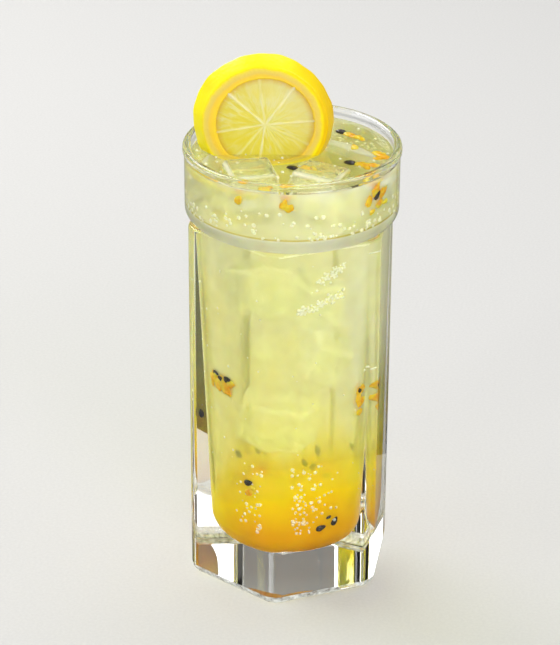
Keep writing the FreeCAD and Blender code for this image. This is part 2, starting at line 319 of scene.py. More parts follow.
def maths(tree, operation, *values, **settings):
    """One step of arithmetic."""
    return add(tree, "Math", dict(enumerate(values)), operation=operation,
               **settings).outputs[0]


def noise(tree, place, scale, detail, roughness=0.5, distortion=0.0):
    """A soft random pattern, between 0 and 1."""
    return add(tree, "TexNoise", {
        "Vector": place, "Scale": scale, "Detail": detail, "Roughness": roughness,
        "Distortion": distortion}).outputs["Fac"]


def bumps(tree, height, distance, strength):
    """The normals of small bumps, their height given in millimetres."""
    return add(tree, "Bump", {"Height": height, "Distance": distance * MM,
                              "Strength": strength}).outputs[0]


def axes(tree, vector):
    """The X, Y and Z of a vector."""
    return add(tree, "SeparateXYZ", {0: vector}).outputs


def blank(name):
    """A material with an empty tree, the tree, and Object coordinates."""
    material = bpy.data.materials.new(name)
    material.use_nodes = True
    tree = material.node_tree
    tree.nodes.clear()
    return material, tree, add(tree, "TexCoord").outputs["Object"]


def finished(material, surface):
    """The material, with that shader as its surface."""
    add(material.node_tree, "OutputMaterial", {"Surface": surface})
    return material


def lamps_pass(tree, seen, tint):
    """The shader for the eye, and a tinted pane for shadows, so light reaches the inside."""
    pane = shader(tree, "Transparent", Color=tint)
    return layer(tree, add(tree, "LightPath").outputs["Is Shadow Ray"], seen, pane)


def pressed_soda_glass():
    """Soda-lime glass, pressed and fire-polished: clear, hard gloss, faint slow waviness.

    The rounded edge that it stands on has a painted highlight: pale, speckled white is mixed
    in where the rounding bends light.
    """
    material, tree, place = blank("pressed_soda_glass")
    waves = noise(tree, place, 28.0, 1.0)                                   # 36 mm
    glass = shader(tree, "Principled", Base_Color="#fdfefd", Roughness=0.0, IOR=1.5,
                   Transmission_Weight=1.0, Normal=bumps(tree, waves, 0.6, 0.12))
    # Painted highlight on the rounded foot edge: pale speckled white mixed into the glass.
    low = mapped(tree, axes(tree, place)["Z"], FOOT_ROUND + 0.8 * MM, FOOT_ROUND + 0.1 * MM)
    facing = axes(tree, add(tree, "NewGeometry").outputs["Normal"])
    turned = ramp(tree, maths(tree, "ABSOLUTE", facing["Z"]),      # neither a side nor the foot
                  (0.01, "#000000"), (0.08, "#ffffff"), (0.9, "#ffffff"), (0.98, "#000000"))
    highlight_speckle = mapped(tree, noise(tree, place, 420.0, 3.0), 0.36, 0.66, 0.2, 0.8)        # 2.4 mm
    share = maths(tree, "MULTIPLY", maths(tree, "MULTIPLY", turned, low), highlight_speckle)
    used = layer(tree, share, glass, shader(tree, "Diffuse", Color="#f2f6f4"))
    return finished(material, lamps_pass(tree, used, "#f4f8f5"))


def drink_colour(tree, place):
    """Pale cloudy lemon above, yellow below, orange where pulp has settled.

    Returns the colour, and a factor that is 0 in the clear drink and 1 in the pulp. The layers
    lie higher to the right, where the pulp has slid, and hollow in the middle. The upper drink is
    painted paler to the right: painted light, for the light that the glass sends there.
    """
    foot, top = 14 * MM, 164 * MM      # the heights that the layers run between
    spot = axes(tree, place)
    lean = maths(tree, "MULTIPLY_ADD", spot["X"], -0.34, spot["Z"])
    bowl = maths(tree, "MULTIPLY", spot["X"], spot["X"])
    dished = maths(tree, "MULTIPLY_ADD", bowl, 13.0, lean)
    drift = noise(tree, place, 26.0, 3.0, 0.55)                             # 38 mm
    sway = maths(tree, "MULTIPLY_ADD", drift, 16 * MM, -8 * MM)
    share = mapped(tree, maths(tree, "ADD", dished, sway), foot, top)
    colour = ramp(tree, share, (0.00, "#d49200"), (0.05, "#ecb200"), (0.11, "#fad000"),
                  (0.16, "#ffde00"), (0.21, "#fee83c"), (0.28, "#faf074"), (0.60, "#f7f1a4"),
                  (1.00, "#f7f4c4"))
    settled = mapped(tree, share, 0.24, 0.16)
    upper = mapped(tree, share, 0.24, 0.45)
    # Painted light: the upper drink turns paler towards the right.
    side = mapped(tree, spot["X"], -4 * MM, 30 * MM, 0, 0.7)
    paler = blend(tree, maths(tree, "MULTIPLY", side, upper), colour, "#fbfbe0")
    long = add(tree, "Mapping", {"Vector": place, "Scale": (70.0, 70.0, 34.0)}).outputs[0]
    tints = ramp(tree, noise(tree, long, 1.0, 2.0),                         # 14 by 29 mm
                 (0.36, "#dfe2bc"), (0.52, "#f6f2ac"), (0.68, "#fbf08a"))
    return blend(tree, maths(tree, "MULTIPLY", upper, 0.34), paler, tints), settled


def cloudy_drink(name):
    """Juice and soda, cloudy with pulp: soft inside, with what is near the wall showing.

    The step under the collar has a painted highlight: a pale band with a thin golden line
    above it.
    """
    material, tree, place = blank(name)
    colour, settled = drink_colour(tree, place)
    # Painted highlight: a pale band on the shoulder under the collar, with a thin golden line
    # above it.
    band = mapped(tree, axes(tree, place)["Z"], SHOULDER_LOW - MM, SHOULDER_HIGH + 1.5 * MM)
    ledge_highlight = add(tree, "ValToRGB", {0: band}, [
        (0.05, "#fdfef400"), (0.14, "#fdfef4"), (0.77, "#fdfef4"), (0.83, "#d6c452"),
        (0.86, "#d6c452"), (0.92, "#d6c45200")]).outputs
    with_ledge_highlight = blend(tree, ledge_highlight["Alpha"], colour, ledge_highlight["Color"])
    body = shader(tree, "Principled", Base_Color=with_ledge_highlight, Roughness=0.25, IOR=WATER_BEND,
                  Subsurface_Weight=1.0, Subsurface_Radius=(1.0, 0.85, 0.4),
                  Subsurface_Scale=9 * MM, Specular_IOR_Level=0.2)
    paler = blend(tree, mapped(tree, settled, 0, 1, 0.5, 0), with_ledge_highlight, "#ffffff")
    clear = shader(tree, "Refraction", Color=paler, Roughness=0.12, IOR=WATER_BEND)
    cloud = noise(tree, place, 48.0, 2.0)                                   # 21 mm
    haze = maths(tree, "MULTIPLY_ADD", cloud, 0.5, mapped(tree, settled, 0, 1, 0.14, 0.54))
    return finished(material, lamps_pass(tree, layer(tree, haze, clear, body), "#f2efc4"))


def drink_surface():
    """The open surface of a drink: watery, glossy, with slow ripples."""
    material, tree, place = blank("drink_surface")
    ripples = noise(tree, place, 70.0, 2.0)                                 # 14 mm
    tone = noise(tree, place, 45.0, 3.0)                                    # 22 mm
    water = shader(tree, "Principled",
                   Base_Color=ramp(tree, tone, (0.35, "#e6e2a0"), (0.6, "#f2efc2")),
                   Roughness=0.03, IOR=1.33, Transmission_Weight=0.9, Subsurface_Weight=1.0,
                   Subsurface_Radius=(1.0, 0.9, 0.5), Subsurface_Scale=8 * MM,
                   Normal=bumps(tree, ripples, 1.0, 0.3))
    return finished(material, lamps_pass(tree, water, "#f6f4dc"))


def wet_ice(name, clouded, bend):
    """Freezer ice, wet: water-clear and milky with trapped air inside, with a painted white
    highlight along its edges.

    Ice in a drink bends light little, so its index of refraction is that of ice over water.
    """
    material, tree, place = blank(name)
    ripples = noise(tree, place, 160.0, 2.0)                                # 6 mm
    milk = noise(tree, place, 90.0, 5.0, 0.7)                               # 11 mm
    inside = mapped(tree, milk, 0.42, 0.75, clouded / 4, clouded)
    # Painted highlight: white mixed in along the cube's edges, from the edge attribute.
    edge_highlight = add(tree, "Attribute", attribute_name="edge").outputs["Fac"]
    share = maths(tree, "MULTIPLY_ADD", edge_highlight, 0.8, inside, use_clamp=True)
    clear = shader(tree, "Principled", Base_Color="#fdfffa", Roughness=0.02, IOR=bend,
                   Transmission_Weight=1.0, Normal=bumps(tree, ripples, 0.8, 0.35))
    milky = shader(tree, "Principled", Base_Color="#f4f5e4", Roughness=0.3,
                   Subsurface_Weight=1.0, Subsurface_Radius=(1.0, 1.0, 1.0),
                   Subsurface_Scale=4 * MM)
    return finished(material, lamps_pass(tree, layer(tree, share, clear, milky), "#f2f4e6"))


def slice_place(tree, place):
    """Object coordinates turned so that Z is out of the slice's cut face."""
    return add(tree, "Mapping", {"Vector": place, "Location": SLICE_MIDDLE,
                                 "Rotation": (math.pi / 2, 0, VIEW_TURN)},
               vector_type="TEXTURE").outputs[0]


def lemon_peel():
    """Waxy lemon zest with oil pits, and dull tan-white pith.

    The zest is painted darker gold to the right: painted shade.
    """
    material, tree, place = blank("lemon_peel")
    spot = axes(tree, slice_place(tree, place))
    flat = add(tree, "CombineXYZ", {0: spot["X"], 1: spot["Y"]}).outputs[0]
    radius = add(tree, "VectorMath", {0: flat}, operation="LENGTH").outputs["Value"]
    uneven = noise(tree, place, 130.0, 4.0)                                 # 8 mm
    shift = maths(tree, "MULTIPLY_ADD", uneven, 2.4 * MM, radius)
    cut = ramp(tree, mapped(tree, shift, 18.1 * MM, 22.8 * MM), (0.0, "#f6d438"),
               (0.24, "#f2ce44"), (0.42, "#e8cc62"), (0.64, "#ecd45c"), (0.80, "#fae218"),
               (0.90, "#ffee04"))
    zest = ramp(tree, noise(tree, place, 60.0, 2.0),                        # 17 mm
                (0.3, "#fbdc00"), (0.5, "#ffec00"), (0.75, "#fff410"))
    # Painted shade: the zest turns darker gold towards the right.
    shaded_right = blend(tree, mapped(tree, spot["X"], 9 * MM, 22 * MM, 0, 0.7), zest, "#e4ae00")
    colour = blend(tree, mapped(tree, radius, 20.7 * MM, 21.4 * MM), cut, shaded_right)
    pits = add(tree, "TexVoronoi", {"Vector": place, "Scale": 900.0},       # 1.1 mm
               feature="SMOOTH_F1").outputs["Distance"]
    skin = shader(tree, "Principled", Base_Color=colour, Roughness=0.38, IOR=1.46,
                  Subsurface_Weight=0.5, Subsurface_Radius=(1.0, 0.8, 0.25),
                  Subsurface_Scale=1.6 * MM, Coat_Weight=0.1, Coat_Roughness=0.2,
                  Specular_IOR_Level=0.3, Normal=bumps(tree, pits, 0.35, 0.35))
    return finished(material, skin)


def lemon_flesh():
    """Lemon flesh: juice sacs along each segment, glassy and wet, between paler membranes.

    It is palest at the upper right, yellower low down, and amber where it meets the pith.
    """
    material, tree, place = blank("lemon_flesh")
    polar = add(tree, "UVMap", uv_map="polar").outputs[0]
    membrane = add(tree, "Attribute", attribute_name="membrane").outputs["Fac"]
    sacs = add(tree, "Mapping", {"Vector": polar, "Scale": (46.0, 3.2, 1.0)}).outputs[0]
    streaks = noise(tree, sacs, 1.0, 3.0, 0.6, 0.5)                # 46 around, 5 mm long
    colour = ramp(tree, streaks, (0.30, "#f4ea66"), (0.48, "#f9f390"), (0.60, "#fcfac4"),
                  (0.74, "#ffffee"))
    drift = noise(tree, place, 55.0, 2.0)                                   # 18 mm
    warm = maths(tree, "MULTIPLY", mapped(tree, drift, 0.40, 0.62), 0.6)
    spot = axes(tree, slice_place(tree, place))
    across = maths(tree, "ADD", spot["X"], spot["Y"])
    upper_right = mapped(tree, across, -4 * MM, 20 * MM, 0, 0.55)
    low = mapped(tree, spot["Y"], 2 * MM, -12 * MM, 0, 0.5)
    rim = mapped(tree, axes(tree, polar)["Y"], 0.86, 0.98, 0, 0.6)
    for share, tint in ((warm, "#f8ec60"), (upper_right, "#fbfbd8"), (low, "#fcf05a"),
                        (rim, "#f4cc3c"), (membrane, "#fffad0")):
        colour = blend(tree, share, colour, tint)
    normal = bumps(tree, streaks, 0.35, 0.5)
    pulp = shader(tree, "Principled", Base_Color=colour, Roughness=0.2, IOR=1.35,
                  Subsurface_Weight=0.8, Subsurface_Radius=(1.0, 0.9, 0.5),
                  Subsurface_Scale=3 * MM, Normal=normal)
    clear = shader(tree, "Translucent", Color=colour, Normal=normal)
    return finished(material, layer(tree, mapped(tree, membrane, 0, 1, 0.55, 0.3), pulp, clear))


def pulp_skin(name, pale, deep, scatter_mm):
    """Ripe passion fruit pulp: wet jelly that glows, mottled from yellow to orange."""
    material, tree, place = blank(name)
    tone = noise(tree, place, 320.0, 3.0)                                   # 3 mm
    jelly = shader(tree, "Principled",
                   Base_Color=ramp(tree, tone, (0.36, deep), (0.62, pale)), Roughness=0.15,
                   IOR=1.38, Transmission_Weight=0.3, Subsurface_Weight=1.0,
                   Subsurface_Radius=(1.0, 0.8, 0.3), Subsurface_Scale=scatter_mm * MM)
    return finished(material, jelly)


def seed_coat():
    """Passion fruit seed: hard, near black, pitted and glossy when wet."""
    material, tree, place = blank("seed_coat")
    pits = add(tree, "TexVoronoi", {"Vector": place,                        # 0.6 mm
                                    "Scale": 1600.0}).outputs["Distance"]
    tone = ramp(tree, pits, (0.2, "#15110c"), (0.7, "#332a1c"))
    coat = shader(tree, "Principled", Base_Color=tone, Roughness=0.22, IOR=1.5,
                  Normal=bumps(tree, pits, 0.2, 0.5))
    return finished(material, coat)


def gas_bubble():
    """Bubbles of soda gas: each a bright bead with a dark edge, partly from its bent reflections.

    Their near-white colour is a painted highlight for the light that clear gas reflects.
    """
    material, tree, _ = blank("gas_bubble")
    # Painted highlight: the near-white base colour makes each bubble a bright bead.
    bead = shader(tree, "Principled", Base_Color="#fffff4", Roughness=0.04, IOR=1.45,
                  Transmission_Weight=0.6)
    return finished(material, lamps_pass(tree, bead, "#f6f6e8"))


# ---------------------------------------------------------------- pieces

def make_glass():
    """Six-sided body with soft corners, round collar with a beaded lip, and the hollow."""
    corner = HEXAGON_FLAT / math.cos(math.pi / 6)
    top = COLLAR_BASE + 0.4 * MM
    deselect()
    bpy.ops.mesh.primitive_cylinder_add(vertices=6, radius=corner, depth=top,
                                        location=(0, 0, top / 2))
    body = bpy.context.object
    bpy.ops.object.transform_apply(location=True)
    edit(body, "EDGE", lambda edge, mesh: abs(edge_ends(edge, mesh)[0].z
                                              - edge_ends(edge, mesh)[1].z) > top / 2)
    bpy.ops.mesh.bevel(offset=CORNER_ROUND * math.tan(math.pi / 6), segments=12,
                       affect="EDGES")
    for height, rounding, segments in ((0, FOOT_ROUND, 8), (top, LEDGE_ROUND, 4)):
        edit(body, "EDGE", lambda edge, mesh: all(abs(end.z - height) < 0.01 * MM
                                                  for end in edge_ends(edge, mesh)))
        bpy.ops.mesh.bevel(offset=rounding, segments=segments, affect="EDGES")
    collar = lathe("collar", [
        (0, COLLAR_BASE, 0), (COLLAR_RADIUS, COLLAR_BASE, COLLAR_BASE_ROUND),
        (COLLAR_RADIUS, BEAD_LOW, 1.2 * MM), (RIM_RADIUS, BEAD_HIGH, 0.6 * MM),
        (RIM_RADIUS, GLASS_TOP, LIP_ROUND), (0, GLASS_TOP, 0)])
    flare, above = COLLAR_INSIDE + 1.5 * MM, GLASS_TOP + 5 * MM
    hollow = lathe("hollow", [
        (0, INNER_BOTTOM, 0), (BORE_FOOT, INNER_BOTTOM, BORE_ROUND),
        (BORE_TOP, SHOULDER_LOW, SHOULDER_ROUND),
        (COLLAR_INSIDE, SHOULDER_HIGH, SHOULDER_ROUND),
        (COLLAR_INSIDE, GLASS_TOP, LIP_ROUND), (flare, GLASS_TOP, 0), (flare, above, 0),
        (0, above, 0)])
    carve(body, collar, "UNION")
    carve(body, hollow, "DIFFERENCE")
    body.name = body.data.name = "glass_vessel"
    smooth(body, 32, weighted=True)
    dress(body, pressed_soda_glass(), "clear_glass", "glass")


def make_drink():
    """The ade from the inner bottom to the surface, with a curl up the wall at its edge."""
    low = INNER_BOTTOM - INTO_WALL
    ade = lathe("ade", [
        (0, low, 0), (BORE_FOOT + INTO_WALL, low, BORE_ROUND),
        (BORE_TOP + INTO_WALL, SHOULDER_LOW, SHOULDER_ROUND),
        (COLLAR_INSIDE + INTO_WALL, SHOULDER_HIGH, SHOULDER_ROUND),
        (COLLAR_INSIDE + INTO_WALL, SURFACE + 1.3 * MM, 0),
        (COLLAR_INSIDE - 0.2 * MM, SURFACE + 0.4 * MM, 0),
        (COLLAR_INSIDE - 1.6 * MM, SURFACE, 0), (0, SURFACE, 0)])
    smooth(ade, 40)
    dress(ade, cloudy_drink("cloudy_lemon_drink"), "ade", "drink")
    ade.data.materials.append(drink_surface())
    for face in ade.data.polygons:
        if face.normal.z > 0.3 and face.center.z > SURFACE - MM:
            face.material_index = 1


def make_settled_pulp():
    """The lumpy orange mass of pulp that has sunk, higher on the right."""
    inset = 0.9 * MM
    pulp = lathe("settled_pulp", [
        (0, INNER_BOTTOM + inset, 0), (BORE_FOOT - inset, INNER_BOTTOM + inset, 7 * MM),
        (BORE_FOOT + 0.6 * MM, PULP_TOP, 5 * MM), (0, PULP_TOP, 0)], steps=96)
    edit(pulp, "FACE")
    bpy.ops.mesh.select_all(action="SELECT")
    bpy.ops.mesh.subdivide(number_cuts=1)
    deselect()
    for vertex in pulp.data.vertices:
        rise = max(vertex.co.z - INNER_BOTTOM, 0) / (PULP_TOP - INNER_BOTTOM)
        hump = 2.4 * MM * math.sin(vertex.co.x / MM * 0.17 + 0.9)
        vertex.co.z += rise * (0.27 * vertex.co.x + hump)
    lumps = bpy.data.textures.new("pulp_lumps", "CLOUDS")
    lumps.noise_scale = 7 * MM
    modify(pulp, "DISPLACE", texture=lumps, strength=-1.6 * MM, mid_level=0.1)
    smooth(pulp, 80)
    dress(pulp, pulp_skin("sunk_pulp", "#ffc400", "#f09000", 6), "fruit_pulp", "pulp_layer")


def ice_cube(name, size, turn, middle, material, *nodes):
    """One tray cube, melted soft: tapered, rounded, its faces a little hollow and rippled."""
    deselect()
    bpy.ops.mesh.primitive_cube_add(size=1)
    cube = bpy.context.object
    cube.scale = size
    bpy.ops.object.transform_apply(scale=True)
    edit(cube, "FACE", lambda face, mesh: face.normal.z > 0.5)
    bpy.ops.transform.resize(value=(0.92, 0.92, 1))
    bpy.ops.mesh.select_all(action="SELECT")
    bpy.ops.mesh.bevel(offset=2.4 * MM, segments=4, affect="EDGES")
    edit(cube, "FACE", lambda face, mesh: face.area > (5 * MM) ** 2)      # the six sides
    bpy.ops.mesh.inset(thickness=2.5 * MM, depth=-0.5 * MM)
    deselect()
    modify(cube, "SUBSURF", levels=2, render_levels=2)
    # Where the ice's painted edge highlight goes: near 1 along the cube's edges, 0 on its faces.
    edge = cube.data.attributes.new("edge", "FLOAT", "POINT")
    for vertex in cube.data.vertices:
        middling = sorted(2 * abs(c) / s for c, s in zip(vertex.co, size))[1]
        edge.data[vertex.index].value = min(max((middling - 0.74) / 0.2, 0), 1)
    melt = bpy.data.textures.new("melt", "CLOUDS")
    melt.noise_scale = 6 * MM
    cube.matrix_world = Matrix.Translation(middle) @ turn
    activate(cube)
    bpy.ops.object.transform_apply(location=True, rotation=True, scale=True)
    modify(cube, "DISPLACE", texture=melt, texture_coords="GLOBAL", strength=1.0 * MM)
    cube.name = cube.data.name = name
    smooth(cube, 80)
    dress(cube, material, "ice", *nodes)


def make_ice():
    """Two cubes at the surface, at the places of their solids, and four sunk ones."""
    top_ice = wet_ice("floating_ice", 0.25, 1.16)
    deep_ice = wet_ice("sunk_ice", 0.6, 1.08)
    for name, turn, lean in (("ice_left", 24, (0.8, 0.6, 0)), ("ice_right", -16, (-0.5, 0.9, 0))):
        low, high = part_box(name)
        attitude = Matrix.Rotation(math.radians(5), 4, Vector(lean)) \
            @ Matrix.Rotation(math.radians(turn), 4, "Z")
        ice_cube("floating_" + name, ICE_SIZE * 0.97, attitude, (low + high) / 2, top_ice, name)
    sunk = [("sunk_ice_a", 34, 10, 113, 14), ("sunk_ice_b", -38, 12, 118, -20),
            ("sunk_ice_c", -20, 11, 66, 12), ("sunk_ice_d", 100, 9, 88, 35)]
    for name, bearing, radius, height, turn in sunk:
        attitude = Matrix.Rotation(math.radians(turn), 4, Vector((0.3, 0.8, 0.5))) \
            @ Matrix.Rotation(math.radians(bearing), 4, "Z")
        middle = at_bearing(bearing, height * MM, radius * MM)
        ice_cube(name, ICE_SIZE, attitude, middle, deep_ice)


def make_peel():
    """Zest and pith as one ring whose outer side slopes, a little lumpy all round."""
    front = SLICE_RADIUS - SLICE_SKEW
    peel = lathe("lemon_peel", [
        (FLESH_RADIUS, -SLICE_THICK, 0), (SLICE_RADIUS, -SLICE_THICK, 0.9 * MM),
        (front, 0, 0.9 * MM), (FLESH_RADIUS, 0, 0.4 * MM),
        (FLESH_RADIUS - 0.8 * MM, -0.6 * MM, 0),
        (FLESH_RADIUS - 0.8 * MM, 0.6 * MM - SLICE_THICK, 0),
        (FLESH_RADIUS, -SLICE_THICK, 0)], steps=180, segments=6)
    for vertex in peel.data.vertices:
        angle = math.atan2(vertex.co.y, vertex.co.x)
        reach = math.hypot(vertex.co.x, vertex.co.y)
        outer = min(max((reach - FLESH_RADIUS) / (SLICE_RADIUS - FLESH_RADIUS), 0), 1)
        lump = 0.5 * math.sin(5 * angle + 1) + 0.3 * math.sin(11 * angle) \
            + 0.2 * math.sin(23 * angle + 2)
        scale = 1 + outer * (lump * 0.34 + 0.1) * MM / reach
        vertex.co.x *= scale
        vertex.co.y *= scale
        vertex.co.x += SLICE_SHIFT * (1 + vertex.co.z / SLICE_THICK)
    peel.data.transform(SLICE_FRAME)
    smooth(peel, 50)
    dress(peel, lemon_peel(), "lemon", "lemon_slice")


def make_flesh():
    """The cut flesh: sunken segments of juice sacs between raised, wavering membranes."""
    rings, spokes = 44, 288
    deselect()
    bpy.ops.mesh.primitive_circle_add(vertices=spokes, radius=FLESH_RADIUS, fill_type="NOTHING")
    flesh = bpy.context.object
    flesh.name = flesh.data.name = "lemon_flesh"
    edit(flesh, "VERT")
    bpy.ops.mesh.select_all(action="SELECT")
    reach = 1.0
    for ring in range(rings - 1, 0, -1):
        bpy.ops.mesh.extrude_edges_move()
        bpy.ops.transform.resize(value=(ring / rings / reach,) * 2 + (1,))
        reach = ring / rings
    bpy.ops.mesh.merge(type="CENTER")
    bpy.ops.mesh.select_all(action="SELECT")
    bpy.ops.mesh.normals_make_consistent(inside=False)
    deselect()
    mesh = flesh.data
    if mesh.polygons[0].normal.z < 0:
        mesh.flip_normals()                 # an open sheet may come out facing down
    ridge = mesh.attributes.new("membrane", "FLOAT", "POINT")
    for vertex in mesh.vertices:
        radius = math.hypot(vertex.co.x, vertex.co.y)
        angle = math.atan2(vertex.co.y, vertex.co.x)
        away, bold = min((abs(math.sin((angle - line) / 2)) * 2 * radius
                          + 0.12 * MM * math.sin(radius / MM * 0.9 + 9 * line), strength)
                         for line, strength in MEMBRANES.items())
        edge = min(max(away, 0), max(radius - MM, 0))
        wall = math.exp(-(edge / MEMBRANE_HALF) ** 2) * bold
        ridge.data[vertex.index].value = wall
        swell = FLESH_SWELL * math.sin(min(edge / (3 * MM), 1) * math.pi / 2)
        vertex.co.z = -0.08 * MM - FLESH_SUNK * (1 - wall) + swell
    polar = mesh.uv_layers.new(name="polar")
    for face in mesh.polygons:
        middle = math.atan2(face.center.y, face.center.x)
        for loop in face.loop_indices:
            spot = mesh.vertices[mesh.loops[loop].vertex_index].co
            angle = math.atan2(spot.y, spot.x) if spot.to_2d().length > 0 else middle
            angle += 2 * math.pi * round((middle - angle) / (2 * math.pi))
            polar.data[loop].uv = (angle / (2 * math.pi), spot.to_2d().length / FLESH_RADIUS)
    activate(flesh)
    bpy.ops.object.duplicate()
    back = bpy.context.object
    back.data.transform(Matrix.Translation((0, 0, -SLICE_THICK))
                        @ Matrix.Scale(-1, 4, (0, 0, 1)))
    back.data.flip_normals()
    activate(flesh, back)
    bpy.ops.object.join()
    edit(flesh, "VERT", lambda v, m: math.hypot(v.co.x, v.co.y) > FLESH_RADIUS - 0.01 * MM)
    bpy.ops.mesh.bridge_edge_loops()
    deselect()
    for vertex in mesh.vertices:
        vertex.co.x += SLICE_SHIFT * (1 + vertex.co.z / SLICE_THICK)
    flesh.data.transform(SLICE_FRAME)
    smooth(flesh, 60)
    dress(flesh, lemon_flesh(), "lemon")


def small_ball(name, size, detail):
    """A smooth ball of that size along each axis, to be copied."""
    deselect()
    bpy.ops.mesh.primitive_ico_sphere_add(subdivisions=detail, radius=1)
    ball = bpy.context.object
    ball.name = name
    ball.scale = size
    bpy.ops.object.transform_apply(scale=True)
    bpy.ops.object.shade_smooth()
    return ball


def random_turn():
    """A turn to anywhere, the next that the seed gives."""
    return Matrix.Rotation(random.uniform(0, 6.3), 4, "Z") \
        @ Matrix.Rotation(random.uniform(0, 6.3), 4, "X") \
        @ Matrix.Rotation(random.uniform(0, 6.3), 4, "Y")


def on_wall(bearing, height, inset):
    """A point on the drink's side, a little inside it."""
    return at_bearing(bearing, height * MM, wall_radius(height * MM) + INTO_WALL - inset * MM)


def against_wall(bearing):
    """The turn that lays something flat against the wall."""
    return Matrix.Rotation(math.radians(bearing - 90) + VIEW_TURN, 4, "Z") \
        @ Matrix.Rotation(math.pi / 2, 4, "Y")


def on_surface(bearing, radius, sunk):
    """A point on the open drink, a little under it."""
    return at_bearing(bearing, SURFACE - sunk * MM, radius * MM)


def make_seeds():
    """Passion fruit seeds: flattened teardrops, on the surface, at the wall and sunk.

    Bearings and turns are in degrees; radii and heights are in millimetres.
    """
    seed = small_ball("passion_seeds", SEED_SIZE, 3)
    for vertex in seed.data.vertices:
        vertex.co.x *= 1 - 0.32 * vertex.co.y / SEED_SIZE.y
    floating = [(141, 27.2, 75), (72, 20.8, 85), (0, 11.2, 80), (165, 24, 20)]
    walls = [(-67, 83, 10), (-59.5, 82, 170), (-51.5, 83, 15), (-30, 44, 20), (26, 25.5, 10),
             (41, 27, 60), (64, 78, 0), (53, 156, 40), (160, 35, 20),
             (200, 48, 70), (120, 30, 50)]
    sunk = [(-46, 53, 20), (9, 52.5, 19), (19, 50, 18), (33, 46, 20), (-34, 21, 19.4),
            (4, 19.5, 18.4), (34, 30, 20.6), (130, 30, 21), (170, 42, 21), (215, 26, 20.6),
            (95, 50, 21)]
    places = []
    for bearing, radius, turn in floating:
        places.append(Matrix.Translation(on_surface(bearing, radius, -0.1))
                      @ Matrix.Rotation(math.radians(turn), 4, "Z"))
    for bearing, height, turn in walls:
        places.append(Matrix.Translation(on_wall(bearing, height, 0.35))
                      @ against_wall(bearing) @ Matrix.Rotation(math.radians(turn), 4, "Z"))
    for bearing, height, radius in sunk:
        places.append(Matrix.Translation(at_bearing(bearing, height * MM, radius * MM))
                      @ random_turn())
    dress(scatter("passion_seeds", seed, places), seed_coat(), "fruit_pulp")


def make_sacs():
    """Soft orange sacs and torn shreds of pulp beside the seeds.

    Each is a ball that is stretched and turned. They are merged where they touch. Bearings
    and turns are in degrees, and all else is in millimetres.
    """
    sac = small_ball("pulp_sacs", Vector((1.0, 1.0, 1.0)) * MM, 3)
    wander = random.Random(3)
    for vertex in sac.data.vertices:
        vertex.co *= 1 + wander.uniform(-0.05, 0.05)
        vertex.co.x *= 1 - 0.25 * vertex.co.y / MM
    places = []

    def lay(spot, tilt, turn, size):
        places.append(Matrix.Translation(spot) @ tilt
                      @ Matrix.Rotation(math.radians(turn), 4, "Z")
                      @ Matrix.Diagonal((*size, 1)))

    for bearing, radius, length, turn in (
            (134, 27.6, 2.6, 70), (127, 28, 2.2, 95), (122, 28.6, 1.6, 60), (110, 23, 2.2, 20),
            (94, 30, 3.0, 60), (89, 31.4, 2.6, 70), (86, 29.5, 1.8, 80), (73, 25, 3.2, 85),
            (74, 29.3, 2.4, 80), (68, 27.5, 1.6, 60), (19, 12.6, 2.8, 75), (30, 14, 1.8, 40),
            (-18, 30, 2.2, 70), (-14, 31, 1.8, 20), (-4, 33, 2.4, 80), (0, 33.4, 1.8, 60),
            (-31, 33, 2.0, 60), (50, 32.5, 2.6, 50), (58, 33, 2.4, 20), (162, 22, 2.0, 60)):
        lay(on_surface(bearing, radius, 0.3), Matrix(), turn, (length * 0.62, length, 1.0))
    for bearing, height, length, turn in (
            (-71, 81, 3.2, 0), (-73, 78.6, 2.2, 90), (-50, 78.4, 2.2, 90),
            (-64, 79.6, 3.4, 90), (-54, 79.6, 3.4, 90), (-58, 81, 3.6, 90),
            (-68, 82.5, 2.6, 10), (-48, 82, 2.8, 10), (66, 78, 3.6, 10), (68, 73, 3.4, 10),
            (63, 75, 2.4, 20), (66, 69, 2.4, 0), (52, 158, 3.4, 60), (58, 156, 3.0, 20),
            (46, 155, 2.6, 80), (55, 152.5, 2.6, 0), (49, 150.5, 1.8, 30), (61, 152, 1.8, 0),
            (-4, 158, 2.6, 80), (-1, 157, 2.0, 60), (-30, 158, 2.4, 60), (-29, 40.5, 2.8, 60),
            (-26, 42, 1.8, 0), (160, 32, 3.0, 20)):
        lay(on_wall(bearing, height, 0.7), against_wall(bearing), turn,
            (length * 0.68, length, 1.2))
    sacs = scatter("pulp_sacs", sac, places)
    modify(sacs, "REMESH", mode="VOXEL", voxel_size=0.28 * MM)
    ragged = bpy.data.textures.new("ragged", "CLOUDS")
    ragged.noise_scale = 1.3 * MM
    modify(sacs, "DISPLACE", texture=ragged, texture_coords="GLOBAL", strength=0.9 * MM)
    modify(sacs, "SMOOTH", factor=0.6, iterations=4)
    smooth(sacs, 180)
    dress(sacs, pulp_skin("pulp_sac", "#ffe23c", "#fcae00", 2), "fruit_pulp")


